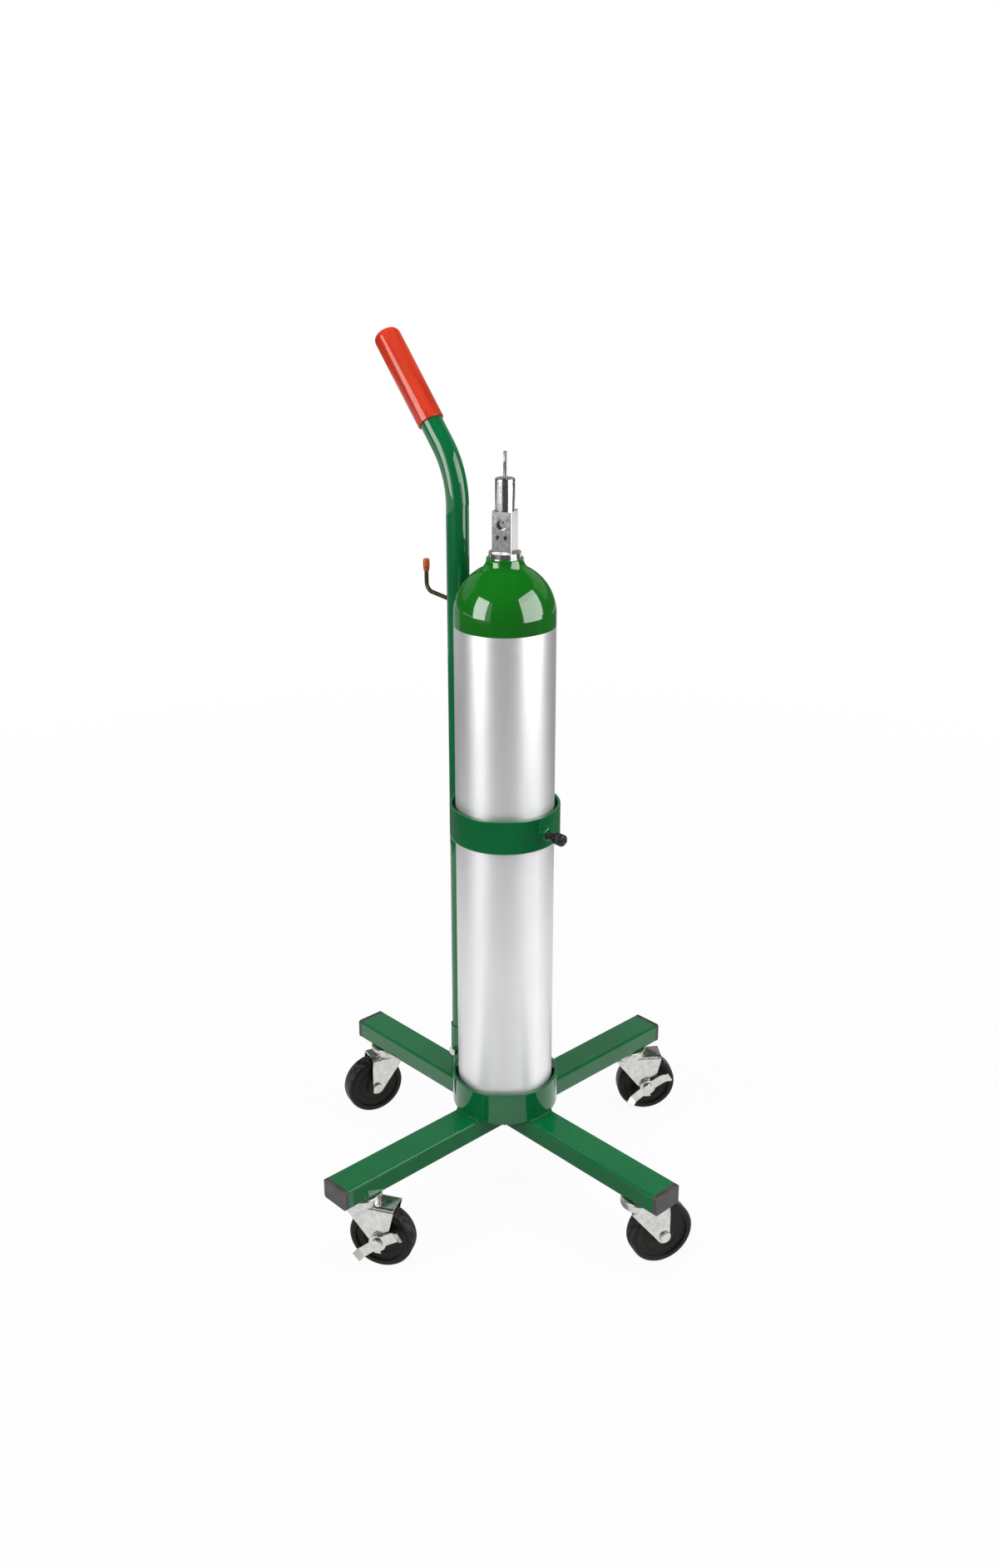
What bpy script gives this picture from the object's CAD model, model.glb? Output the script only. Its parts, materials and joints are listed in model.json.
# Gas cylinder trolley: the finish and the fine shape of every piece, in metres.
import json
import math

import bmesh
import bpy
from mathutils import Matrix, Vector


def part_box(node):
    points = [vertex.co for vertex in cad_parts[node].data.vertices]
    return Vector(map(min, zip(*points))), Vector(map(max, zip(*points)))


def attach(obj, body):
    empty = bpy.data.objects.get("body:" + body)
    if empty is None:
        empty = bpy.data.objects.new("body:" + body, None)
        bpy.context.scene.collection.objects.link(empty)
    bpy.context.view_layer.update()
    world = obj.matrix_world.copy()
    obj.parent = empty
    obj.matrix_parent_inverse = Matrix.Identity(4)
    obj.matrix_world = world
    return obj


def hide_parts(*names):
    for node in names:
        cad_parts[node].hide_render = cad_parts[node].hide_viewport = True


# The bare trolley comes in piece by piece at its real size, standing on the floor.
# Its box is kept, so that the dressed trolley's box can be set beside it at the end.
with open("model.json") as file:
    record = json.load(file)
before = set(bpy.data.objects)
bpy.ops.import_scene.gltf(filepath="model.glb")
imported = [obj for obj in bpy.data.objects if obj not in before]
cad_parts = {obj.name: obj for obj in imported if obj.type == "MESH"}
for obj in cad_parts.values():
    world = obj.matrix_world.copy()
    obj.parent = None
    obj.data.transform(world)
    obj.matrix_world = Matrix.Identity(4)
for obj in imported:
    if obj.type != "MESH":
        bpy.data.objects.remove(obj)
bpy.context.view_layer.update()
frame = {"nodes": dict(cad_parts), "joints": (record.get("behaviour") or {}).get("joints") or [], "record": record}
scene = bpy.context.scene
record = frame["record"]
joints = {joint["name"]: joint for joint in frame["joints"]}
mounts = {mount["name"]: mount for mount in record["mounts"]}
body_of = {node: body for body, nodes in record["behaviour"]["bodies"].items() for node in nodes}

# Camera a little higher than the grip, looking down between the left and the front leg.
# Lens and shift are those of the photograph's frame, so the trolley sits where it does there.
picture_px = (1200, 1886)
focal_px = 1867.7
centre_px = (607.2, 877.8)
camera_turn = math.radians(-43.49)
camera_tilt = math.radians(19.87)
camera_distance = 1.6139
camera_height = 1.1667
lens = bpy.data.cameras.new("photo_lens")
lens.sensor_width = 36.0
lens.lens = focal_px * lens.sensor_width / picture_px[1]
lens.shift_x = (picture_px[0] / 2 - centre_px[0]) / picture_px[1]
lens.shift_y = (centre_px[1] - picture_px[1] / 2) / picture_px[1]
camera = bpy.data.objects.new("photo_camera", lens)
camera.location = (
    camera_distance * math.sin(camera_turn),
    -camera_distance * math.cos(camera_turn),
    camera_height,
)
camera.rotation_euler = (math.pi / 2 - camera_tilt, 0, camera_turn)
scene.collection.objects.link(camera)
scene.camera = camera


# Studio: a white floor that runs into a white background, with soft light from both sides.
# Softboxes and dark flags are there for enamel and metal to mirror; fill lamps light the rest.
def put(tree, kind, sockets=(), **settings):
    """A node of that kind, with its settings made and its sockets filled or linked."""
    node = tree.nodes.new(kind)
    for name, value in settings.items():
        setattr(node, name, value)
    for name, value in dict(sockets).items():
        if isinstance(value, bpy.types.NodeSocket):
            tree.links.new(value, node.inputs[name])
        else:
            node.inputs[name].default_value = value
    return node


def seen_rays(tree):
    """1 for rays from the camera, from a mirror or through glass, 0 for the rest."""
    path = put(tree, "ShaderNodeLightPath").outputs
    straight = put(tree, "ShaderNodeMath", {0: path["Is Camera Ray"], 1: path["Is Glossy Ray"]})
    every = put(
        tree,
        "ShaderNodeMath",
        {0: straight.outputs[0], 1: path["Is Transmission Ray"]},
        use_clamp=True,
    )
    return every.outputs[0]


room_light = 0.12
world = bpy.data.worlds.new("studio_room")
world.use_nodes = True
scene.world = world
scene.view_settings.view_transform = "Standard"
tree = world.node_tree
tree.nodes.clear()
room = put(tree, "ShaderNodeBackground", {"Color": (1, 1, 1, 1), "Strength": room_light})
white = put(tree, "ShaderNodeBackground", {"Color": (1, 1, 1, 1), "Strength": 1.0})
both = put(tree, "ShaderNodeMixShader", {0: seen_rays(tree), 1: room.outputs[0], 2: white.outputs[0]})
put(tree, "ShaderNodeOutputWorld", {"Surface": both.outputs[0]})


def new_material(name):
    """An empty material, and its node tree."""
    material = bpy.data.materials.new(name)
    material.use_nodes = True
    material.node_tree.nodes.clear()
    return material, material.node_tree


# The floor glows white, a little less close to the trolley, so that its shadow shows there.
floor_half = 60.0
near_glow = 0.95
near_radius = 0.3
far_radius = 2.4
paper_grey = 0.65
floor_mesh = bpy.data.meshes.new("studio_floor")
floor_mesh.from_pydata(
    [(x * floor_half, y * floor_half, 0) for x, y in ((-1, -1), (1, -1), (1, 1), (-1, 1))],
    [],
    [(0, 1, 2, 3)],
)
floor = bpy.data.objects.new("studio_floor", floor_mesh)
scene.collection.objects.link(floor)
material, tree = new_material("studio_floor")
place = put(tree, "ShaderNodeTexCoord").outputs["Object"]
away = put(tree, "ShaderNodeVectorMath", {0: place}, operation="LENGTH").outputs["Value"]
sockets = {
    "Value": away,
    "From Min": near_radius,
    "From Max": far_radius,
    "To Min": near_glow,
    "To Max": 1.0,
}
glow_share = put(tree, "ShaderNodeMapRange", sockets, interpolation_type="SMOOTHSTEP")
paper = put(tree, "ShaderNodeBsdfDiffuse", {"Color": (paper_grey, paper_grey, paper_grey, 1)})
glow = put(tree, "ShaderNodeEmission", {"Color": (1, 1, 1, 1), "Strength": 1.0})
sockets = {0: seen_rays(tree), 1: glow_share.outputs[0]}
share = put(tree, "ShaderNodeMath", sockets, operation="MULTIPLY")
both = put(tree, "ShaderNodeMixShader", {0: share.outputs[0], 1: paper.outputs[0], 2: glow.outputs[0]})
put(tree, "ShaderNodeOutputMaterial", {"Surface": both.outputs[0]})
floor_mesh.materials.append(material)

lit_height = 0.6
# Each lamp has its degrees to the right of the camera, distance, height, width, tallness and radiance.
lamps = {
    "softbox_left": (-59, 2.0, 1.28, 1.15, 1.55, 6.8),
    "softbox_right": (66, 2.0, 1.25, 2.0, 2.3, 5.0),
    "fill_left": (-57, 2.0, 1.28, 1.1, 1.55, 5.2),
    "fill_right": (66, 2.0, 1.25, 2.0, 2.3, 2.9),
    "fill_overhead": (0, 0.1, 2.7, 2.0, 2.0, 3.9),
}
for name, (offset, distance, height, width, tall, radiance) in lamps.items():
    lamp = bpy.data.lights.new(name, "AREA")
    lamp.shape = "RECTANGLE"
    lamp.size = width
    lamp.size_y = tall
    lamp.energy = radiance * math.pi * width * tall
    light = bpy.data.objects.new(name, lamp)
    bearing = camera_turn + math.radians(offset)
    light.location = (distance * math.sin(bearing), -distance * math.cos(bearing), height)
    aim = Vector((0, 0, lit_height)) - light.location
    light.rotation_euler = aim.to_track_quat("-Z", "Y").to_euler()
    light.visible_camera = False
    light.visible_glossy = name.startswith("softbox")
    light.visible_diffuse = name.startswith("fill")
    scene.collection.objects.link(light)

flag_steps = 24
# Each flag bends round the trolley from one bearing to another, between a lower and an upper edge
# of (radius, height), and has its own brightness.
flags = {
    "flag_front": (-31, 37, (0.74, 0.66), (0.74, 1.9), 0.08),
    "flag_post": (-56, -31, (0.75, 0.59), (0.75, 0.675), 0.36),
    "flag_low_front": (-115, 38, (0.76, 0.1), (0.76, 0.67), 0.1),
    "flag_low_right": (38, 86, (0.76, 0.1), (0.76, 0.61), 0.1),
    "flag_low_side": (86, 126, (0.76, 0.1), (0.76, 0.69), 0.1),
    "flag_low_edge": (126, 152, (0.76, 0.1), (0.76, 0.59), 0.1),
    "flag_low_back": (152, 250, (0.8, 0.1), (0.8, 0.43), 0.14),
    "flag_rear": (152, 250, (0.8, 0.43), (0.8, 0.66), 0.42),
    "flag_back": (105, 255, (2.4, 1.6), (2.4, 3.0), 0.32),
    "flag_back_mid": (105, 255, (2.4, 1.15), (2.4, 1.6), 0.3),
    "flag_back_low": (105, 255, (2.4, 0.35), (2.4, 1.15), 0.06),
    "flag_left": (-105, -76, (2.3, 0.66), (2.3, 3.0), 0.06),
    "flag_right": (94, 110, (2.3, 0.5), (2.3, 3.0), 0.06),
    "flag_overhead": (0, 360, (0.01, 2.6), (2.9, 2.6), 0.05),
    "flag_floor": (-80, 75, (0.06, 0.004), (0.21, 0.004), 0.3),
}
for name, (start, end, lower, upper, shade) in flags.items():
    points = []
    for step in range(flag_steps + 1):
        bearing = camera_turn + math.radians(start + (end - start) * step / flag_steps)
        for radius, height in (lower, upper):
            points.append((radius * math.sin(bearing), -radius * math.cos(bearing), height))
    faces = [(k, k + 2, k + 3, k + 1) for k in range(0, 2 * flag_steps, 2)]
    flag_mesh = bpy.data.meshes.new(name)
    flag_mesh.from_pydata(points, [], faces)
    material, tree = new_material(name)
    dark = put(tree, "ShaderNodeEmission", {"Color": (shade, shade, shade, 1), "Strength": 1.0})
    put(tree, "ShaderNodeOutputMaterial", {"Surface": dark.outputs[0]})
    flag_mesh.materials.append(material)
    flag = bpy.data.objects.new(name, flag_mesh)
    flag.visible_camera = False
    flag.visible_diffuse = False
    flag.visible_shadow = False
    scene.collection.objects.link(flag)


# Base: three lengths of rectangular steel tube, two of them butted against the long one.
# The whole frame is sprayed in a glossy green enamel after welding.
def speckle(tree, scale, detail=3.0, stretch=(1, 1, 1)):
    """A noise value on the piece's own coordinates, at so many grains to the metre."""
    place = put(tree, "ShaderNodeTexCoord").outputs["Object"]
    stretched = put(tree, "ShaderNodeMapping", {"Vector": place, "Scale": stretch})
    noise = put(
        tree,
        "ShaderNodeTexNoise",
        {"Vector": stretched.outputs[0], "Scale": scale, "Detail": detail},
    )
    return noise.outputs[0]


def spread(tree, value, low, high, start=0.3, end=0.7):
    """The value's middle range mapped to low and high."""
    sockets = {"Value": value, "From Min": start, "From Max": end, "To Min": low, "To Max": high}
    return put(tree, "ShaderNodeMapRange", sockets).outputs[0]


def between(tree, share, one, other):
    """A colour between two, by the share."""
    sockets = {0: share, 6: (*one, 1), 7: (*other, 1)}
    return put(tree, "ShaderNodeMix", sockets, data_type="RGBA").outputs[2]


def bumps(tree, height, strength, distance):
    """A normal that rises and falls with the height."""
    sockets = {"Height": height, "Strength": strength, "Distance": distance}
    return put(tree, "ShaderNodeBump", sockets).outputs[0]


def surface(tree, sockets):
    """A finished surface with those sockets."""
    skin = put(tree, "ShaderNodeBsdfPrincipled", sockets)
    put(tree, "ShaderNodeOutputMaterial", {"Surface": skin.outputs[0]})


def enamel(name, deep, light, coat_index):
    """Glossy sprayed enamel: slight orange peel, a little dust, and colour that drifts."""
    material, tree = new_material(name)
    drift = spread(tree, speckle(tree, 14.0), 0, 1)
    peel = speckle(tree, 420.0, 1.0)
    dust = spread(tree, speckle(tree, 60.0, 6.0), 0.24, 0.4)
    sockets = {
        "Base Color": between(tree, drift, deep, light),
        "Roughness": dust,
        "Specular IOR Level": 0.03,
        "Coat Weight": 1.0,
        "Coat Roughness": 0.02,
        "Coat IOR": coat_index,
        "Normal": bumps(tree, peel, 0.06, 0.0003),
    }
    surface(tree, sockets)
    return material


frame_enamel = enamel("frame_enamel", (0.0008, 0.11, 0.029), (0.0015, 0.136, 0.04), 1.5)


def show(name, mesh, body, replaced=()):
    """A finished piece of that mesh: it rides on its body and stands for the bare nodes."""
    piece = bpy.data.objects.new(name, mesh)
    scene.collection.objects.link(piece)
    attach(piece, body)
    if replaced:
        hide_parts(*replaced)
    return piece


def ease_edges(piece, width, steps=2, angle=28):
    """Rounds the piece's corners over by a narrow bevel."""
    bevel = piece.modifiers.new("eased_edges", "BEVEL")
    bevel.width = width
    bevel.segments = steps
    bevel.limit_method = "ANGLE"
    bevel.angle_limit = math.radians(angle)
    flatness = piece.modifiers.new("flat_faces", "WEIGHTED_NORMAL")
    flatness.weight = 100
    flatness.keep_sharp = True


def shade_round(mesh, crease=35):
    """Shades the mesh smooth, with creases where it turns sharply."""
    mesh.polygons.foreach_set("use_smooth", [True] * len(mesh.polygons))
    mesh.set_sharp_from_angle(angle=math.radians(crease))


def dressed(node, material, edge=0):
    """A copy of a bare piece with its flat faces made whole and its edges eased."""
    work = bmesh.new()
    work.from_mesh(frame["nodes"][node].data)
    bmesh.ops.remove_doubles(work, verts=work.verts, dist=1e-6)
    bmesh.ops.dissolve_limit(
        work, angle_limit=math.radians(0.5), verts=work.verts, edges=work.edges
    )
    mesh = bpy.data.meshes.new(node + "_finished")
    work.to_mesh(mesh)
    work.free()
    shade_round(mesh)
    mesh.materials.append(material)
    piece = show(node + "_finished", mesh, body_of[node], [node])
    if edge:
        ease_edges(piece, edge)
    return piece


for node in ("base_tube_long", "base_tube_left", "base_tube_right"):
    dressed(node, frame_enamel, edge=0.0003)

leg_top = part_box("base_tube_long")[1].z

# End caps: black moulded plugs, pressed into the open ends of the base tubes.
# Their faces are flat and matt, with a fine mould grain, and rubbed lighter in places.
cap_plastic, tree = new_material("cap_plastic")
grain = speckle(tree, 900.0, 2.0)
rub = spread(tree, speckle(tree, 70.0, 5.0), 0, 1)
sockets = {
    "Base Color": between(tree, rub, (0.03, 0.024, 0.025), (0.07, 0.058, 0.06)),
    "Roughness": spread(tree, grain, 0.42, 0.58),
    "Normal": bumps(tree, grain, 0.25, 0.0002),
}
surface(tree, sockets)
leg_names = ("front", "rear", "left", "right")
for leg in leg_names:
    dressed("end_cap_" + leg, cap_plastic, edge=0.0009)


# Ring: a band of rolled strip that stands on the cross and keeps the gas cylinder's foot in.
# The same strip, welded to the pole, is the collar half way up.
def held(profile, reach):
    """The closed profile with a point near both ends of each long side, to shade it straight."""
    long_side = 4 * reach
    points = []
    for k, point in enumerate(profile):
        start = Vector(point)
        side = Vector(profile[(k + 1) % len(profile)]) - start
        points.append(point)
        if side.length > long_side:
            step = side.normalized() * reach
            points += [tuple(start + step), tuple(start + side - step)]
    return points


def turned(name, profile, segments, material, closed=False):
    """A mesh of the profile's (radius, height) points spun about the Z axis."""
    work = bmesh.new()
    rings = []
    for radius, height in profile:
        if radius < 1e-7:
            rings.append([work.verts.new((0, 0, height))])
            continue
        angles = [2 * math.pi * k / segments for k in range(segments)]
        rings.append(
            [work.verts.new((radius * math.cos(a), radius * math.sin(a), height)) for a in angles]
        )
    pairs = list(zip(rings, rings[1:]))
    if closed:
        pairs.append((rings[-1], rings[0]))
    for lower, upper in pairs:
        for k in range(segments):
            after = (k + 1) % segments
            corners = [lower[k % len(lower)], lower[after % len(lower)]]
            corners += [upper[after % len(upper)], upper[k % len(upper)]]
            work.faces.new(list(dict.fromkeys(corners)))
    bmesh.ops.recalc_face_normals(work, faces=work.faces)
    mesh = bpy.data.meshes.new(name)
    work.to_mesh(mesh)
    work.free()
    shade_round(mesh)
    mesh.materials.append(material)
    return mesh


def rounded(corners, steps=4):
    """An outline of (x, y, radius) corners, each rounded by an arc of so many steps."""
    outline = []
    for k, (x, y, radius) in enumerate(corners):
        here = Vector((x, y))
        if radius == 0:
            outline.append((x, y))
            continue
        to_last = (Vector(corners[k - 1][:2]) - here).normalized()
        to_next = (Vector(corners[(k + 1) % len(corners)][:2]) - here).normalized()
        half = to_last.angle(to_next) / 2
        middle = here + (to_last + to_next).normalized() * radius / math.sin(half)
        first = here + to_last * radius / math.tan(half) - middle
        last = here + to_next * radius / math.tan(half) - middle
        turn = first.angle_signed(last)
        for step in range(steps + 1):
            point = first.copy()
            point.rotate(Matrix.Rotation(-turn * step / steps, 2))
            outline.append(tuple(middle + point))
    return outline


band_edge = 0.0007
band_thickness = 0.0032
for node in ("base_ring", "collar"):
    low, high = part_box(node)
    outer = high.x
    inner = outer - band_thickness
    corners = [(inner, low.z), (outer, low.z), (outer, high.z), (inner, high.z)]
    profile = held(rounded([(x, z, band_edge) for x, z in corners], 3), band_edge)
    mesh = turned(node + "_strip", profile, 192, frame_enamel, closed=True)
    show(node + "_strip", mesh, body_of[node], [node])
ring_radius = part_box("base_ring")[1].x


# Welds: rippled beads at the foot of the ring, in the corners of the cross, round the socket,
# beside the collar and round its nut. They lie under the same enamel as the frame.
def group_tree(name, inputs):
    """An empty tree of geometry nodes with those named inputs; gives the tree and its input node."""
    tree = bpy.data.node_groups.new(name, "GeometryNodeTree")
    tree.interface.new_socket("Geometry", in_out="INPUT", socket_type="NodeSocketGeometry")
    for label, kind in inputs.items():
        tree.interface.new_socket(label, in_out="INPUT", socket_type="NodeSocket" + kind)
    tree.interface.new_socket("Geometry", in_out="OUTPUT", socket_type="NodeSocketGeometry")
    return tree, put(tree, "NodeGroupInput").outputs


def close_tree(tree, geometry, material):
    """Ends the tree: real faces, shaded smooth, with their material."""
    real = put(tree, "GeometryNodeRealizeInstances", {0: geometry})
    smooth = put(tree, "GeometryNodeSetShadeSmooth", {0: real.outputs[0]})
    painted = put(tree, "GeometryNodeSetMaterial", {0: smooth.outputs[0], "Material": material})
    put(tree, "NodeGroupOutput", {0: painted.outputs[0]})


def grown(name, tree, values, points=((0, 0, 0),), edges=()):
    """The plain mesh that the tree makes of those points and edges."""
    seed = bpy.data.meshes.new(name + "_path")
    seed.from_pydata(points, edges, [])
    carrier = bpy.data.objects.new(name + "_path", seed)
    scene.collection.objects.link(carrier)
    modifier = carrier.modifiers.new(tree.name, "NODES")
    modifier.node_group = tree
    for item in tree.interface.items_tree:
        if item.name in values:
            modifier[item.identifier] = values[item.name]
    graph = bpy.context.evaluated_depsgraph_get()
    mesh = bpy.data.meshes.new_from_object(carrier.evaluated_get(graph))
    mesh.name = name
    bpy.data.objects.remove(carrier)
    bpy.data.meshes.remove(seed)
    return mesh


bead_inputs = {"Bead radius": "Float", "Ripple pitch": "Float", "Seed": "Int"}
bead_inputs["Paint"] = "Material"
bead_tree, given = group_tree("weld_bead", bead_inputs)
path = put(bead_tree, "GeometryNodeMeshToCurve", {0: given["Geometry"]})
steps = put(
    bead_tree,
    "GeometryNodeResampleCurve",
    {"Curve": path.outputs[0], "Length": given["Ripple pitch"]},
    mode="LENGTH",
)
ripple = put(
    bead_tree, "GeometryNodeMeshIcoSphere", {"Radius": given["Bead radius"], "Subdivisions": 3}
)
along = put(bead_tree, "GeometryNodeInputTangent")
aimed = put(
    bead_tree, "FunctionNodeAlignRotationToVector", {"Vector": along.outputs[0]}, axis="Z"
)
least_ripple = (0.86, 0.86, 0.5)
most_ripple = (1.08, 1.08, 0.72)
uneven = put(
    bead_tree,
    "FunctionNodeRandomValue",
    {0: least_ripple, 1: most_ripple, "Seed": given["Seed"]},
    data_type="FLOAT_VECTOR",
)
laid = put(
    bead_tree,
    "GeometryNodeInstanceOnPoints",
    {
        "Points": steps.outputs[0],
        "Instance": ripple.outputs[0],
        "Rotation": aimed.outputs[0],
        "Scale": uneven.outputs[0],
    },
)
close_tree(bead_tree, laid.outputs[0], given["Paint"])


def arc_points(centre, radius, start, end, count):
    """Points along an arc that lies level, from the start to the end angle in degrees."""
    angles = [math.radians(start + (end - start) * k / (count - 1)) for k in range(count)]
    return [centre + radius * Vector((math.cos(a), math.sin(a), 0)) for a in angles]


def paths(runs):
    """Points and edges of several separate runs of points."""
    points, edges = [], []
    for run in runs:
        edges += [(len(points) + k, len(points) + k + 1) for k in range(len(run) - 1)]
        points += [tuple(point) for point in run]
    return points, edges


def weld(name, runs, radius, pitch, seed, replaced=()):
    """A piece of rippled beads under the frame's enamel, one along each run of points."""
    points, edges = paths(runs)
    values = {"Bead radius": radius, "Ripple pitch": pitch, "Seed": seed, "Paint": frame_enamel}
    mesh = grown(name, bead_tree, values, points, edges)
    show(name, mesh, "frame", replaced)


bead_radius = 0.0026
ripple_pitch = 0.0017
arc_count = 40
corner_gap = 0.002
corner_steps = 10
edge_gap_degrees = 2
socket_bead_degrees = (-35, 215)
leg_half_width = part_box("base_tube_long")[1].x
leg_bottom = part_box("base_tube_long")[0].z
corner_rise = leg_top - leg_bottom - 2 * corner_gap
leg_angles = {"front": -90, "rear": 90, "left": 180, "right": 0}
ring_foot = Vector((0, 0, leg_top))
reach = math.degrees(math.asin(leg_half_width / ring_radius)) - edge_gap_degrees
runs = []
for leg in ("front", "left", "right"):
    middle = leg_angles[leg]
    runs.append(arc_points(ring_foot, ring_radius, middle - reach, middle + reach, arc_count))
for x in (-1, 1):
    for y in (-1, 1):
        corner = Vector((x * leg_half_width, y * leg_half_width, 0))
        levels = range(corner_steps + 1)
        heights = [leg_bottom + corner_gap + corner_rise * k / corner_steps for k in levels]
        runs.append([corner + Vector((0, 0, height)) for height in heights])
socket_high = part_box("pole_socket")[1]
socket_radius = socket_high.x
pole_y = socket_high.y - socket_radius
pole_foot = Vector((0, pole_y, leg_top))
runs.append(arc_points(pole_foot, socket_radius, *socket_bead_degrees, arc_count))
weld("frame_weld_beads", runs, bead_radius, ripple_pitch, seed=3, replaced=["frame_welds"])

weld_low, weld_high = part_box("collar_welds")
seam_x = 0.0055
seam_steps = 20
seam_y = (weld_low.y + weld_high.y) / 2
seam_rise = weld_high.z - weld_low.z
runs = []
for side in (-1, 1):
    heights = [weld_low.z + seam_rise * k / seam_steps for k in range(seam_steps + 1)]
    runs.append([Vector((side * seam_x, seam_y, height)) for height in heights])
weld("collar_weld_beads", runs, bead_radius, ripple_pitch, seed=5, replaced=["collar_welds"])

# Pole: one length of round steel tube, bent back at the top and enamelled with the frame.
# It stands in a short socket on the rear leg and is held there by a cross bolt.
pole_radius = 0.0127
straight_length = 0.708
bend_start = leg_top + straight_length
bend_radius = 0.1
bend_angle = math.radians(40)
top_length = 0.142
dressed("pole_socket", frame_enamel, edge=0.0003)


def swept(name, path, radius, sides, material):
    """A round rod along a path that lies in the plane x = 0, closed at both ends."""
    work = bmesh.new()
    rings = []
    across = Vector((1, 0, 0))
    for k, point in enumerate(path):
        before = path[max(k - 1, 0)]
        after = path[min(k + 1, len(path) - 1)]
        up = across.cross((after - before).normalized())
        ring = []
        for side in range(sides):
            a = 2 * math.pi * side / sides
            ring.append(work.verts.new(point + radius * (math.cos(a) * across + math.sin(a) * up)))
        rings.append(ring)
    for lower, upper in zip(rings, rings[1:]):
        for side in range(sides):
            after = (side + 1) % sides
            work.faces.new((lower[side], lower[after], upper[after], upper[side]))
    work.faces.new(rings[0])
    work.faces.new(rings[-1])
    bmesh.ops.recalc_face_normals(work, faces=work.faces)
    mesh = bpy.data.meshes.new(name)
    work.to_mesh(mesh)
    work.free()
    shade_round(mesh)
    mesh.materials.append(material)
    return mesh


bend_steps = 32
bend_middle = Vector((0, pole_y + bend_radius, bend_start))
path = [pole_foot]
for step in range(bend_steps + 1):
    a = bend_angle * step / bend_steps
    path.append(bend_middle + bend_radius * Vector((0, -math.cos(a), math.sin(a))))
pole_end = path[-1]
top_direction = Vector((0, math.sin(bend_angle), math.cos(bend_angle)))
path.append(pole_end + top_length * top_direction)
mesh = swept("pole_tube", path, pole_radius, 64, frame_enamel)
show("pole_tube", mesh, "frame", ["handle_tube"])

# Cross bolt: a zinc-plated hexagon bolt through socket and pole, with a plain nut.
# The plating is bright and a little cloudy, with a fine grain.
zinc_plate, tree = new_material("zinc_plate")
cloud = spread(tree, speckle(tree, 160.0, 5.0), 0, 1)
fine = speckle(tree, 1500.0, 2.0)
sockets = {
    "Base Color": between(tree, cloud, (0.54, 0.54, 0.52), (0.74, 0.74, 0.72)),
    "Metallic": 1.0,
    "Roughness": spread(tree, cloud, 0.16, 0.32, 0, 1),
    "Normal": bumps(tree, fine, 0.08, 0.0002),
}
surface(tree, sockets)


def hexagon(name, across_flats, height, bore, material, segments=48):
    """A hexagon nut or head whose corners are turned off at the top, standing on z = 0."""
    flat = across_flats / 2
    crown = 0.92 * flat
    slope = math.tan(math.radians(30))
    work = bmesh.new()
    rings = [[], [], [], [], []]
    for k in range(segments):
        a = 2 * math.pi * k / segments
        off_flat = (a + math.pi / 6) % (math.pi / 3) - math.pi / 6
        radius = flat / math.cos(off_flat)
        shoulder = height - (radius - crown) * slope
        spots = ((bore, 0), (radius, 0), (radius, shoulder), (crown, height), (bore, height))
        for ring, (r, z) in zip(rings, spots):
            ring.append(work.verts.new((r * math.cos(a), r * math.sin(a), z)))
    pairs = list(zip(rings, rings[1:]))
    if bore:
        pairs.append((rings[-1], rings[0]))
    for lower, upper in pairs:
        for k in range(segments):
            after = (k + 1) % segments
            work.faces.new((lower[k], lower[after], upper[after], upper[k]))
    bmesh.ops.remove_doubles(work, verts=work.verts, dist=1e-7)
    bmesh.ops.recalc_face_normals(work, faces=work.faces)
    mesh = bpy.data.meshes.new(name)
    work.to_mesh(mesh)
    work.free()
    shade_round(mesh, 25)
    mesh.materials.append(material)
    return mesh


def lay(mesh, start, along):
    """Moves a mesh made along +Z so that it starts at the point and runs along the direction."""
    turn = Vector(along).to_track_quat("Z", "Y").to_matrix().to_4x4()
    mesh.transform(Matrix.Translation(start) @ turn)
    return mesh


def joined(name, meshes):
    """One mesh of several that share a finish."""
    work = bmesh.new()
    for mesh in meshes:
        work.from_mesh(mesh)
    whole = bpy.data.meshes.new(name)
    work.to_mesh(whole)
    work.free()
    whole.materials.append(meshes[0].materials[0])
    return whole


thread_inputs = {name: "Float" for name in ("Core radius", "Pitch", "Length", "Depth")}
thread_inputs["Metal"] = "Material"
thread_tree, given = group_tree("screw_thread", thread_inputs)
turns = put(
    thread_tree, "ShaderNodeMath", {0: given["Length"], 1: given["Pitch"]}, operation="DIVIDE"
)
helix = put(
    thread_tree,
    "GeometryNodeCurveSpiral",
    {
        "Resolution": 32,
        "Rotations": turns.outputs[0],
        "Start Radius": given["Core radius"],
        "End Radius": given["Core radius"],
        "Height": given["Length"],
    },
)
upright = put(thread_tree, "GeometryNodeSetCurveNormal", {0: helix.outputs[0]}, mode="Z_UP")
ridge = put(
    thread_tree, "GeometryNodeCurvePrimitiveCircle", {"Resolution": 4, "Radius": given["Depth"]}
)
thread = put(
    thread_tree,
    "GeometryNodeCurveToMesh",
    {"Curve": upright.outputs[0], "Profile Curve": ridge.outputs[0], "Fill Caps": True},
)
close_tree(thread_tree, thread.outputs[0], given["Metal"])


def threaded_rod(name, radius, length, pitch, material, hole=None):
    """A rod along +Z with a rolled thread and a chamfered end; a hole is (radius, depth) at its start."""
    depth = 0.5 * pitch
    core = radius - depth
    start = [(hole[0], hole[1]), (hole[0], 0)] if hole else [(0, 0)]
    profile = start + [(core, 0), (core, length - depth), (core - depth, length), (0, length)]
    if hole:
        profile.insert(0, (0, hole[1]))
    values = {"Core radius": core, "Pitch": pitch, "Depth": depth, "Metal": material}
    values["Length"] = length - 2 * pitch
    thread = grown(name + "_thread", thread_tree, values)
    thread.transform(Matrix.Translation((0, 0, pitch)))
    return joined(name, [turned(name + "_core", profile, 48, material), thread])


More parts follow.
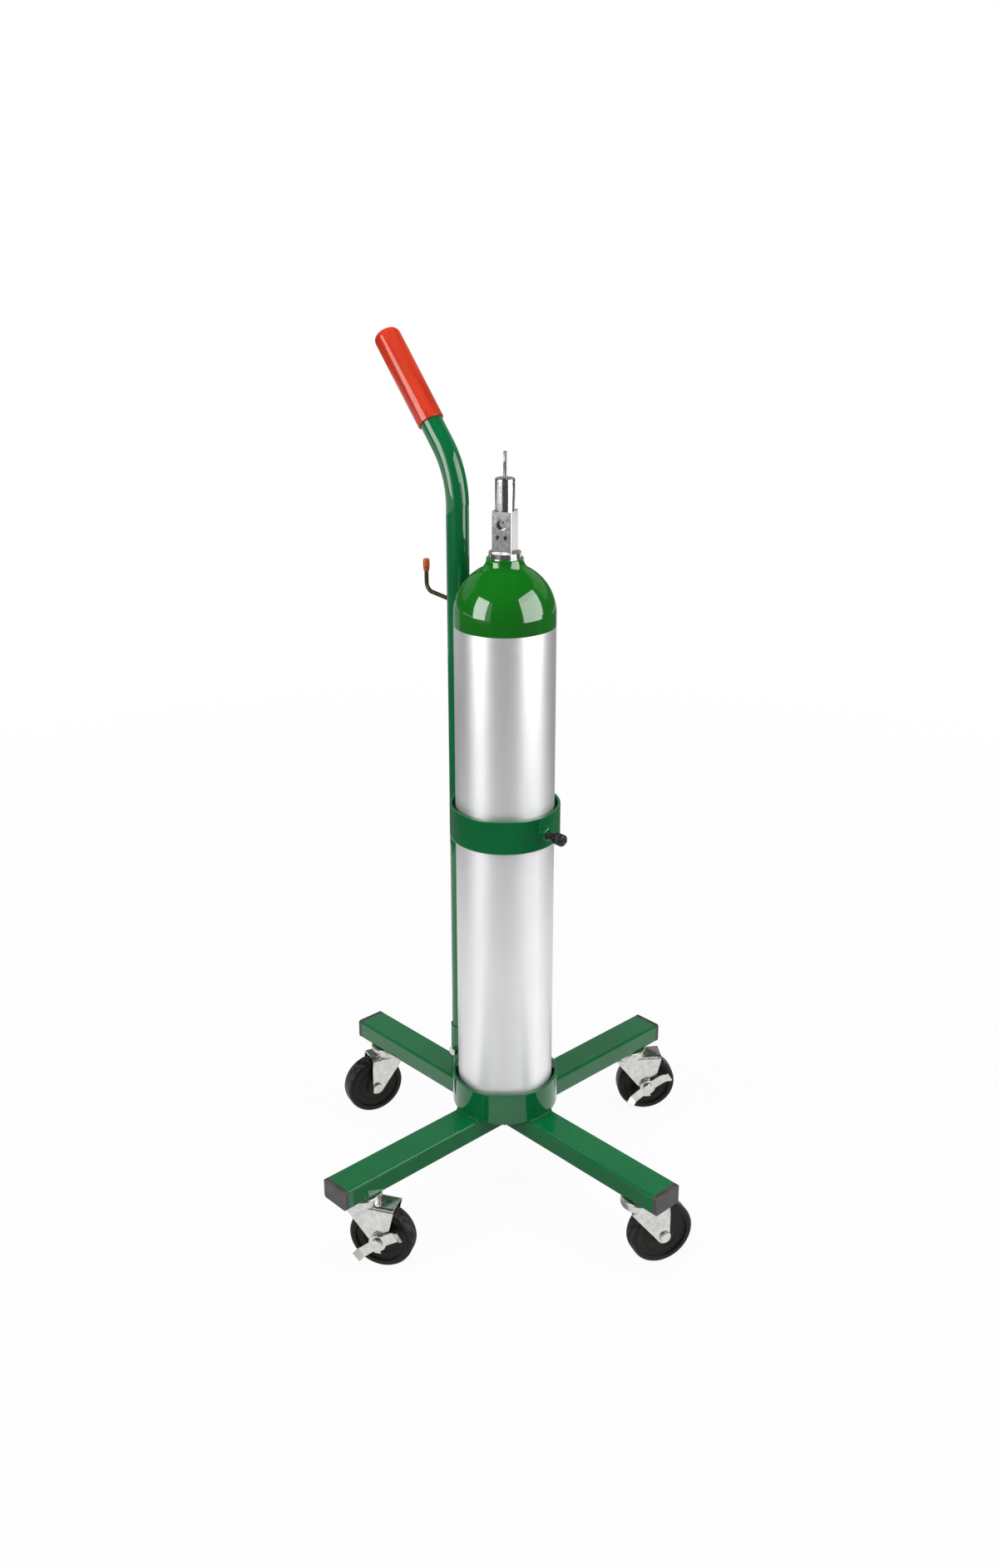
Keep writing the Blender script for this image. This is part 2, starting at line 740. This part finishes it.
bolt_flats = 0.01
bolt_radius = 0.003
bolt_pitch = 0.001
spare_thread = 0.003
nut_low, nut_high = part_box("socket_nut")
bolt_low, bolt_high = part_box("socket_bolt")
bolt_head = nut_high.x - nut_low.x
bolt_y = (nut_low.y + nut_high.y) / 2
bolt_z = (nut_low.z + nut_high.z) / 2
bolt_seat = bolt_low.x + bolt_head
thread_start = nut_low.x - spare_thread
shank = thread_start - bolt_seat
head = hexagon("bolt_head", bolt_flats, bolt_head, 0, zinc_plate)
profile = [(0, 0), (bolt_radius, 0), (bolt_radius, shank), (0, shank)]
plain = turned("bolt_shank", profile, 40, zinc_plate)
threaded = threaded_rod("bolt_end", bolt_radius, bolt_high.x - thread_start, bolt_pitch, zinc_plate)
parts = [
    lay(head, (bolt_seat, bolt_y, bolt_z), (-1, 0, 0)),
    lay(plain, (bolt_seat, bolt_y, bolt_z), (1, 0, 0)),
    lay(threaded, (thread_start, bolt_y, bolt_z), (1, 0, 0)),
]
show("cross_bolt", joined("cross_bolt", parts), "frame", ["socket_bolt"])
mesh = hexagon("cross_bolt_nut", bolt_flats, bolt_head, bolt_radius, zinc_plate)
lay(mesh, (nut_low.x, bolt_y, bolt_z), (1, 0, 0))
show("cross_bolt_nut", mesh, "frame", ["socket_nut"])

# Grip: a red vinyl sleeve with a closed round end, pushed over the top of the pole.
# It is glossy, a little streaked along its length, and dulled in patches by handling.
grip_inner = 0.01275
grip_outer = 0.01495
grip_start = 0.028
grip_length = 0.117
grip_end = 0.003
grip_round = 0.008
mouth_round = 0.0009
grip_vinyl, tree = new_material("grip_vinyl")
place = put(tree, "ShaderNodeTexCoord").outputs["Object"]
drawn = put(
    tree,
    "ShaderNodeMapping",
    {"Vector": place, "Rotation": (-bend_angle, 0, 0), "Scale": (1, 1, 9)},
    vector_type="TEXTURE",
)
streaks = put(tree, "ShaderNodeTexNoise", {"Vector": drawn.outputs[0], "Scale": 130.0, "Detail": 2.0})
streak = spread(tree, streaks.outputs[0], 0, 1, 0.36, 0.64)
handling = spread(tree, speckle(tree, 30.0, 5.0), 0.35, 0.5)
sockets = {
    "Base Color": between(tree, streak, (0.6, 0.038, 0.01), (0.46, 0.027, 0.008)),
    "Roughness": handling,
    "Specular IOR Level": 0.05,
    "Coat Weight": 0.7,
    "Coat Roughness": 0.13,
    "Normal": bumps(tree, speckle(tree, 220.0, 2.0), 0.02, 0.0003),
}
surface(tree, sockets)
corners = [
    (0, grip_length - grip_end, 0),
    (grip_inner, grip_length - grip_end, 0),
    (grip_inner, 0, 0),
    (grip_outer, 0, mouth_round),
    (grip_outer, grip_length, grip_round),
    (0, grip_length, 0),
]
mesh = turned("grip_sleeve", rounded(corners, 8), 96, grip_vinyl)
lay(mesh, pole_end + grip_start * top_direction, top_direction)
show("grip_sleeve", mesh, "frame", ["grip"])

# Hook: a bent steel rod let into the back of the pole, dark from its oiled black finish.
# A dip of orange vinyl covers its tip.
hook_height = 0.5995
hook_slope = math.radians(5)
hook_bend = 0.01
hook_steps = 16
rod_low, rod_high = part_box("hook")
rod_radius = rod_high.x
upright_y = rod_high.y - rod_radius
foot_z = leg_top + hook_height
turn = math.pi / 2 - hook_slope
bend_back = hook_bend * math.tan(turn / 2)
corner_z = foot_z + (upright_y - pole_y) * math.tan(hook_slope)
bend_centre = Vector((0, upright_y - hook_bend, corner_z + bend_back))
path = [Vector((0, rod_low.y, foot_z + (rod_low.y - pole_y) * math.tan(hook_slope)))]
for step in range(hook_steps + 1):
    a = hook_slope + turn * step / hook_steps
    path.append(bend_centre + hook_bend * Vector((0, math.sin(a), -math.cos(a))))
path.append(Vector((0, upright_y, rod_high.z)))
hook_oxide, tree = new_material("hook_oxide")
stain = spread(tree, speckle(tree, 180.0, 5.0), 0, 1)
sockets = {
    "Base Color": between(tree, stain, (0.03, 0.028, 0.012), (0.065, 0.055, 0.022)),
    "Metallic": 0.6,
    "Roughness": spread(tree, stain, 0.34, 0.5, 0, 1),
    "Normal": bumps(tree, speckle(tree, 1400.0, 2.0), 0.15, 0.0002),
}
surface(tree, sockets)
mesh = swept("hook_rod", path, rod_radius, 32, hook_oxide)
show("hook_rod", mesh, "frame", ["hook"])

tip_low, tip_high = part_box("hook_tip")
tip_radius = tip_high.x
tip_wall = tip_radius - rod_radius
tip_length = tip_high.z - tip_low.z
tip_vinyl, tree = new_material("tip_vinyl")
mottle = spread(tree, speckle(tree, 260.0, 4.0), 0, 1)
sockets = {
    "Base Color": between(tree, mottle, (0.55, 0.085, 0.01), (0.36, 0.055, 0.008)),
    "Roughness": spread(tree, mottle, 0.28, 0.42, 0, 1),
    "Coat Weight": 0.3,
    "Normal": bumps(tree, speckle(tree, 1200.0, 2.0), 0.12, 0.0002),
}
surface(tree, sockets)
corners = [
    (0, tip_length - tip_wall, 0),
    (rod_radius, tip_length - tip_wall, 0),
    (rod_radius, 0, 0),
    (rod_radius + 0.5 * tip_wall, 0, 0.0003),
    (tip_radius, 0.35 * tip_length, 0.004),
    (tip_radius, tip_length, 0.5 * tip_radius),
    (0, tip_length, 0),
]
mesh = turned("hook_dip", rounded(corners, 6), 48, tip_vinyl)
lay(mesh, (0, upright_y, tip_low.z), (0, 0, 1))
show("hook_dip", mesh, "frame", ["hook_tip"])

# Collar nut: a plain hexagon nut welded to the front of the collar, under the frame's enamel.
# The clamp screw turns in it; a thin bead runs round its foot.
screw_origin = Vector(joints["screw_turn"]["pos_m"])
screw_out = Vector(joints["screw_turn"]["axis"])
nut_flats = 0.013
nut_sunk = 0.001
screw_bore = 0.0042
collar_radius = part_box("collar")[1].x
nut_front = -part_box("collar_nut")[0].y
screw_centre = Vector((0, 0, screw_origin.z))
nut_height = nut_front - collar_radius + nut_sunk
mesh = hexagon("collar_nut_welded", nut_flats, nut_height, screw_bore, frame_enamel)
lay(mesh, screw_centre + (collar_radius - nut_sunk) * screw_out, screw_out)
show("collar_nut_welded", mesh, "frame", ["collar_nut"])
bead_reach = 0.0076
thin_bead_radius = 0.0012
thin_ripple_pitch = 0.0011
bead_steps = 48
run = []
for step in range(bead_steps + 1):
    a = 2 * math.pi * step / bead_steps
    x = bead_reach * math.cos(a)
    depth = math.sqrt(collar_radius**2 - x**2)
    run.append(Vector((x, -depth, screw_origin.z + bead_reach * math.sin(a))))
weld("nut_weld_bead", [run], thin_bead_radius, thin_ripple_pitch, seed=7)

# Clamp screw: an oxide-black screw with a rolled thread, turned by a knurled plastic knob.
# Its inner end carries a nylon pad on a pin, which presses the gas cylinder without marking it.
screw_oxide, tree = new_material("screw_oxide")
wear = spread(tree, speckle(tree, 240.0, 5.0), 0, 1)
sockets = {
    "Base Color": between(tree, wear, (0.012, 0.012, 0.013), (0.05, 0.05, 0.05)),
    "Metallic": 0.7,
    "Roughness": spread(tree, wear, 0.3, 0.45, 0, 1),
}
surface(tree, sockets)
knob_low, knob_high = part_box("screw_knob")
knob_length = knob_high.y - knob_low.y
knob_radius = knob_high.x
screw_low, screw_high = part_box("clamp_screw")
screw_radius = screw_high.x
screw_length = screw_high.y - screw_low.y
screw_pitch = 0.00125
pin_hole = (0.0017, 0.0053)
mesh = threaded_rod("clamp_thread", screw_radius, screw_length, screw_pitch, screw_oxide, pin_hole)
lay(mesh, (0, screw_high.y, screw_origin.z), screw_out)
show("clamp_thread", mesh, body_of["clamp_screw"], ["clamp_screw"])


def ring_tree(name, shape, shape_sockets):
    """A tree that sets a shape so many times round the Z axis; the sockets are named inputs or numbers."""
    inputs = {"Count": "Int", "Ring radius": "Float", "Radius": "Float", "Length": "Float"}
    inputs["Finish"] = "Material"
    tree, given = group_tree(name, inputs)
    ring = put(
        tree,
        "GeometryNodeCurvePrimitiveCircle",
        {"Resolution": given["Count"], "Radius": given["Ring radius"]},
    )
    sockets = {key: given[value] if value in inputs else value for key, value in shape_sockets.items()}
    one = put(tree, shape, sockets)
    copies = put(
        tree, "GeometryNodeInstanceOnPoints", {"Points": ring.outputs[0], "Instance": one.outputs[0]}
    )
    close_tree(tree, copies.outputs[0], given["Finish"])
    return tree


knob_plastic, tree = new_material("knob_plastic")
grain = speckle(tree, 1100.0, 2.0)
grease = spread(tree, speckle(tree, 150.0, 4.0), 0.26, 0.42)
sockets = {
    "Base Color": between(tree, grain, (0.007, 0.007, 0.007), (0.014, 0.013, 0.013)),
    "Roughness": grease,
    "Normal": bumps(tree, grain, 0.15, 0.0002),
}
surface(tree, sockets)
knob_chamfer = 0.0011
rib_count = 36
rib_radius = 0.0004
body_radius = knob_radius - rib_radius
knob_ease = 0.0004
band_ease = 0.0008
dish = 0.0006
dish_outer = 0.6 * body_radius
dish_inner = 0.5 * body_radius
corners = [
    (0, 0, 0),
    (body_radius - knob_chamfer, 0, knob_ease),
    (body_radius, knob_chamfer, knob_ease),
    (body_radius, knob_length - knob_chamfer, band_ease),
    (body_radius - knob_chamfer, knob_length, knob_ease),
    (dish_outer, knob_length, knob_ease),
    (dish_inner, knob_length - dish, knob_ease),
    (0, knob_length - dish, 0),
]
rib_tree = ring_tree(
    "knob_ribs",
    "GeometryNodeMeshCylinder",
    {"Vertices": 8, "Radius": "Radius", "Depth": "Length"},
)
values = {"Count": rib_count, "Ring radius": body_radius, "Radius": rib_radius, "Finish": knob_plastic}
values["Length"] = knob_length - 2.4 * knob_chamfer
ribs = grown("knob_ribs", rib_tree, values)
ribs.transform(Matrix.Translation((0, 0, knob_length / 2)))
mesh = joined("knurled_knob", [turned("knob_body", rounded(corners), 72, knob_plastic), ribs])
lay(mesh, (0, knob_high.y, screw_origin.z), screw_out)
show("knurled_knob", mesh, body_of["screw_knob"], ["screw_knob"])

pad_nylon, tree = new_material("pad_nylon")
haze = spread(tree, speckle(tree, 300.0, 4.0), 0, 1)
sockets = {
    "Base Color": between(tree, haze, (0.72, 0.71, 0.64), (0.6, 0.59, 0.52)),
    "Roughness": spread(tree, haze, 0.4, 0.55, 0, 1),
    "Subsurface Weight": 0.1,
    "Subsurface Radius": (0.002, 0.002, 0.0015),
}
surface(tree, sockets)
dressed("screw_pad", pad_nylon, edge=0.0003)

# Casters: each has a stem through the leg with a nut inside the tube, and a pressed race, under
# which the fork turns on a ring of balls. All of it is zinc-plated steel.
dressed("caster_nuts", zinc_plate, edge=0.0004)
head_radius = 0.023
skirt = 0.0015
skirt_low = 0.0807
race_roof = 0.0872
king_radius = 0.005
king_head_radius = 0.008
king_head = 0.003
stem_radius = 0.006
stem_chamfer = 0.001
ball_count = 12
ball_radius = 0.00225
ball_ring = 0.0145
ball_height = 0.0858
ball_tree = ring_tree(
    "swivel_balls", "GeometryNodeMeshUVSphere", {"Segments": 16, "Rings": 8, "Radius": "Radius"}
)
for leg in leg_names:
    node = "caster_stem_" + leg
    low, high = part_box(node)
    stem_x, stem_y, _ = joints["swivel_" + leg]["pos_m"]
    corners = [
        (0, low.z, 0),
        (king_head_radius, low.z, 0.001),
        (king_head_radius, low.z + king_head, 0.0004),
        (king_radius, low.z + king_head, 0),
        (king_radius, race_roof, 0),
        (head_radius - skirt, race_roof, 0.001),
        (head_radius - skirt, skirt_low, 0.0003),
        (head_radius, skirt_low, 0.0003),
        (head_radius, leg_bottom, 0.0026),
        (stem_radius, leg_bottom, 0),
        (stem_radius, high.z - stem_chamfer, 0),
        (stem_radius - stem_chamfer, high.z, 0),
        (0, high.z, 0),
    ]
    mesh = turned(node + "_turned", rounded(corners, 5), 96, zinc_plate)
    mesh.transform(Matrix.Translation((stem_x, stem_y, 0)))
    show(node + "_turned", mesh, body_of[node], [node])
    node = "swivel_balls_" + leg
    values = {"Count": ball_count, "Ring radius": ball_ring, "Radius": ball_radius, "Finish": zinc_plate}
    mesh = grown(node + "_set", ball_tree, values)
    mesh.transform(Matrix.Translation((stem_x, stem_y, ball_height)))
    show(node + "_set", mesh, body_of[node], [node])

# Forks, axles and bushes: a folded channel that narrows to the axle, a headed axle bolt,
# and a plain steel bush on which the wheel turns.
for leg in leg_names:
    dressed("fork_" + leg, zinc_plate, edge=0.0005)
    dressed("axle_" + leg, zinc_plate, edge=0.0003)
    dressed("bush_" + leg, zinc_plate, edge=0.0003)

# Wheels: hard black rubber, moulded with a hub, a sunken web with a raised ring, and a rim.
# The sides show fine moulding rings; the tread is scuffed grey by the floor.
wheel_low, wheel_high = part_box("wheel_front")
wheel_radius = (wheel_high.z - wheel_low.z) / 2
wheel_half = 0.011
hub_half = 0.0124
hub_radius = 0.012
bush_bore = 0.0057
web_half = 0.008
rim_inner = 0.0295
tread_round = 0.005
web_ring = 0.021
web_ring_half = 0.0011
web_ring_rise = 0.0007
rim_groove = 0.0329
groove_half = 0.0005
groove_depth = 0.0006
draft = 0.0007
half_section = [
    (bush_bore, hub_half, 0.0004),
    (hub_radius, hub_half, 0.0012),
    (hub_radius + draft, web_half, 0.0016),
    (web_ring - web_ring_half - draft, web_half, 0.0004),
    (web_ring - web_ring_half, web_half + web_ring_rise, 0.0004),
    (web_ring + web_ring_half, web_half + web_ring_rise, 0.0004),
    (web_ring + web_ring_half + draft, web_half, 0.0004),
    (rim_inner - draft, web_half, 0.0016),
    (rim_inner, wheel_half, 0.001),
    (rim_groove - groove_half, wheel_half, 0.0002),
    (rim_groove - groove_half, wheel_half - groove_depth, 0.0002),
    (rim_groove + groove_half, wheel_half - groove_depth, 0.0002),
    (rim_groove + groove_half, wheel_half, 0.0002),
    (wheel_radius, wheel_half, tread_round),
]
wheel_section = half_section + [(r, -y, radius) for r, y, radius in reversed(half_section)]
wheel_rubber, tree = new_material("wheel_rubber")
from_axle = put(tree, "ShaderNodeAttribute", attribute_name="from_axle").outputs["Fac"]
rings = put(
    tree, "ShaderNodeTexNoise", {"W": from_axle, "Scale": 1600.0, "Detail": 1.0}, noise_dimensions="1D"
)
rolled = spread(tree, from_axle, 0, 1, wheel_radius - tread_round / 2, wheel_radius)
dust = spread(tree, speckle(tree, 150.0, 6.0), 0, 1, 0.42, 0.62)
scuffed = put(tree, "ShaderNodeMath", {0: rolled, 1: dust}, operation="MULTIPLY").outputs[0]
sockets = {
    "Base Color": between(tree, scuffed, (0.005, 0.0045, 0.003), (0.035, 0.033, 0.03)),
    "Specular IOR Level": 0.22,
    "Roughness": spread(tree, rings.outputs[0], 0.36, 0.5),
    "Normal": bumps(tree, rings.outputs[0], 0.2, 0.0003),
}
surface(tree, sockets)
for leg in leg_names:
    node = "wheel_" + leg
    mesh = turned(node + "_moulded", rounded(wheel_section), 96, wheel_rubber, closed=True)
    distance = mesh.attributes.new("from_axle", "FLOAT", "POINT")
    distance.data.foreach_set("value", [vertex.co.xy.length for vertex in mesh.vertices])
    lay(mesh, joints["roll_" + leg]["pos_m"], joints["roll_" + leg]["axis"])
    show(node + "_moulded", mesh, body_of[node], [node])

# Brakes on the left and right casters: a pressed cam plate fixed to the fork, and a lever
# on the axle with a folded foot pad at either end and a stop tooth below the axle.
for leg in ("left", "right"):
    dressed("brake_cam_" + leg, zinc_plate, edge=0.0002)
    dressed("brake_lever_" + leg, zinc_plate, edge=0.0005)

# Gas cylinder: a seamless aluminium vessel with a rounded foot and a domed shoulder.
# The wall is left as it was brushed on the lathe; shoulder and neck are sprayed green.
vessel_low, vessel_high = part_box("cylinder_shell")
vessel_radius = vessel_high.x
vessel_foot = 0.012
neck_radius = 0.02
neck_blend = 0.014
neck_land = 0.001
neck_chamfer = 0.0006
neck_bore = 0.0095
bore_depth = 0.0215
seal_radius = 0.0125
seal_depth = 0.0022
paint_drop = 0.012
paint_thickness = 0.00012
blend_x = neck_radius + neck_blend
blend_z = vessel_high.z - neck_land
dome_z = blend_z - math.sqrt((vessel_radius + neck_blend) ** 2 - blend_x**2)
paint_z = dome_z - paint_drop
foot_steps = 16
dome_steps = 40
blend_steps = 14
meet = math.atan2(blend_z - dome_z, blend_x)
profile = [(0, vessel_low.z)]
for step in range(foot_steps + 1):
    a = math.pi / 2 * step / foot_steps
    x = vessel_radius - vessel_foot + vessel_foot * math.sin(a)
    profile.append((x, vessel_low.z + vessel_foot * (1 - math.cos(a))))
painted_radius = vessel_radius + paint_thickness
profile += [(vessel_radius, paint_z), (painted_radius, paint_z + paint_thickness)]
for step in range(dome_steps + 1):
    a = meet * step / dome_steps
    profile.append((painted_radius * math.cos(a), dome_z + painted_radius * math.sin(a)))
for step in range(1, blend_steps + 1):
    a = math.pi + meet * (1 - step / blend_steps)
    profile.append((blend_x + neck_blend * math.cos(a), blend_z + neck_blend * math.sin(a)))
profile += [
    (neck_radius, vessel_high.z - neck_chamfer),
    (neck_radius - neck_chamfer, vessel_high.z),
    (seal_radius, vessel_high.z),
    (seal_radius, vessel_high.z - seal_depth),
    (neck_bore, vessel_high.z - seal_depth),
    (neck_bore, vessel_high.z - bore_depth),
    (0, vessel_high.z - bore_depth),
]
brushed_aluminium, tree = new_material("brushed_aluminium")
brush = speckle(tree, 1.0, 3.0, (30, 30, 2400))
clouds = spread(tree, speckle(tree, 18.0, 5.0, (1, 1, 0.35)), 0, 1)
around = put(tree, "ShaderNodeTangent", direction_type="RADIAL", axis="Z")
sockets = {
    "Base Color": between(tree, clouds, (0.79, 0.79, 0.8), (0.87, 0.87, 0.88)),
    "Metallic": 0.72,
    "Roughness": spread(tree, brush, 0.36, 0.48),
    "Anisotropic": 0.65,
    "Anisotropic Rotation": 0.25,
    "Tangent": around.outputs[0],
    "Normal": bumps(tree, brush, 0.12, 0.0002),
}
surface(tree, sockets)
shoulder_enamel = enamel("shoulder_enamel", (0.002, 0.12, 0.004), (0.003, 0.144, 0.006), 1.65)
mesh = turned("gas_vessel", profile, 192, brushed_aluminium)
mesh.materials.append(shoulder_enamel)
for polygon in mesh.polygons:
    polygon.material_index = int(polygon.center.z > paint_z)
show("gas_vessel", mesh, "gas_cylinder", ["cylinder_shell"])

# Valve: a square post of chromed brass on a round flange, with a gland nut over the packing.
# An o-ring seals it to the neck, and a hexagon relief plug closes the back.
valve_chrome, tree = new_material("valve_chrome")
haze = spread(tree, speckle(tree, 260.0, 5.0), 0, 1)
sockets = {
    "Base Color": between(tree, haze, (0.62, 0.61, 0.6), (0.74, 0.73, 0.73)),
    "Metallic": 1.0,
    "Roughness": spread(tree, haze, 0.07, 0.18, 0, 1),
    "Normal": bumps(tree, speckle(tree, 900.0, 3.0), 0.03, 0.0002),
}
surface(tree, sockets)
dressed("valve_body", valve_chrome, edge=0.0005)

gland_low, gland_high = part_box("gland_nut")
gland_radius = gland_high.x
gland_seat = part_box("valve_body")[1].z
thread_radius = 0.006
stem_bore = 0.00205
top_band = 0.0045
band_groove = 0.0005
corners = [
    (stem_bore, gland_low.z, 0),
    (thread_radius, gland_low.z, 0),
    (thread_radius, gland_seat, 0),
    (gland_radius, gland_seat, 0.0003),
    (gland_radius, gland_high.z - top_band - band_groove, 0.0002),
    (gland_radius - band_groove, gland_high.z - top_band - band_groove / 2, 0.0001),
    (gland_radius, gland_high.z - top_band, 0.0002),
    (gland_radius, gland_high.z, 0.001),
    (stem_bore, gland_high.z, 0.0003),
]
profile = held(rounded(corners), band_groove)
mesh = turned("gland_nut_turned", profile, 96, valve_chrome, closed=True)
show("gland_nut_turned", mesh, body_of["gland_nut"], ["gland_nut"])

outlet_out = Vector(mounts["gas_outlet"]["axis"])
spindle_low, spindle_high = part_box("valve_spindle")
spindle_radius = 0.0019
plunger_radius = spindle_high.x
plunger_height = 0.007
flat_height = 0.012
flat_half = 0.0012
tip = 0.0005
profile = [
    (0, spindle_low.z),
    (plunger_radius, spindle_low.z),
    (plunger_radius, spindle_low.z + plunger_height),
    (spindle_radius, spindle_low.z + plunger_height),
    (spindle_radius, spindle_high.z - flat_height),
    (spindle_radius, spindle_high.z - flat_height + tip),
    (spindle_radius, spindle_high.z - tip),
    (spindle_radius - tip, spindle_high.z),
    (0, spindle_high.z),
]
spindle_steel, tree = new_material("spindle_steel")
wear = spread(tree, speckle(tree, 160.0, 3.0), 0, 1)
sockets = {
    "Base Color": between(tree, wear, (0.12, 0.12, 0.12), (0.2, 0.19, 0.18)),
    "Metallic": 1.0,
    "Roughness": spread(tree, wear, 0.2, 0.36, 0, 1),
}
surface(tree, sockets)
mesh = turned("spindle_turned", profile, 40, spindle_steel)
for vertex in mesh.vertices:
    if vertex.co.z > spindle_high.z - flat_height + tip / 2:
        past_flat = vertex.co.dot(outlet_out)
        vertex.co += outlet_out * (max(-flat_half, min(flat_half, past_flat)) - past_flat)
show("spindle_turned", mesh, "valve_spindle", ["valve_spindle"])

plug_height = mounts["gas_outlet"]["pos_m"][2]
post_half = 0.011
plug_flats = 0.011
plug_head = 0.004
plug_shank = 0.005
plug_radius = 0.004
vent = 0.0018
plug_seat = Vector((0, 0, plug_height)) - post_half * outlet_out
head = hexagon("plug_head", plug_flats, plug_head, vent, valve_chrome)
profile = [(0, 0), (plug_radius, 0), (plug_radius, plug_shank), (0, plug_shank)]
plain = turned("plug_shank", profile, 40, valve_chrome)
parts = [lay(head, plug_seat, -outlet_out), lay(plain, plug_seat, outlet_out)]
mesh = joined("relief_plug_turned", parts)
show("relief_plug_turned", mesh, "gas_cylinder", ["relief_plug"])

seal_rubber, tree = new_material("seal_rubber")
bloom = spread(tree, speckle(tree, 400.0, 4.0), 0, 1)
sockets = {
    "Base Color": between(tree, bloom, (0.008, 0.008, 0.008), (0.02, 0.02, 0.02)),
    "Roughness": spread(tree, bloom, 0.4, 0.6, 0, 1),
}
surface(tree, sockets)
dressed("valve_oring", seal_rubber)
dressed("valve_packing", pad_nylon, edge=0.0002)
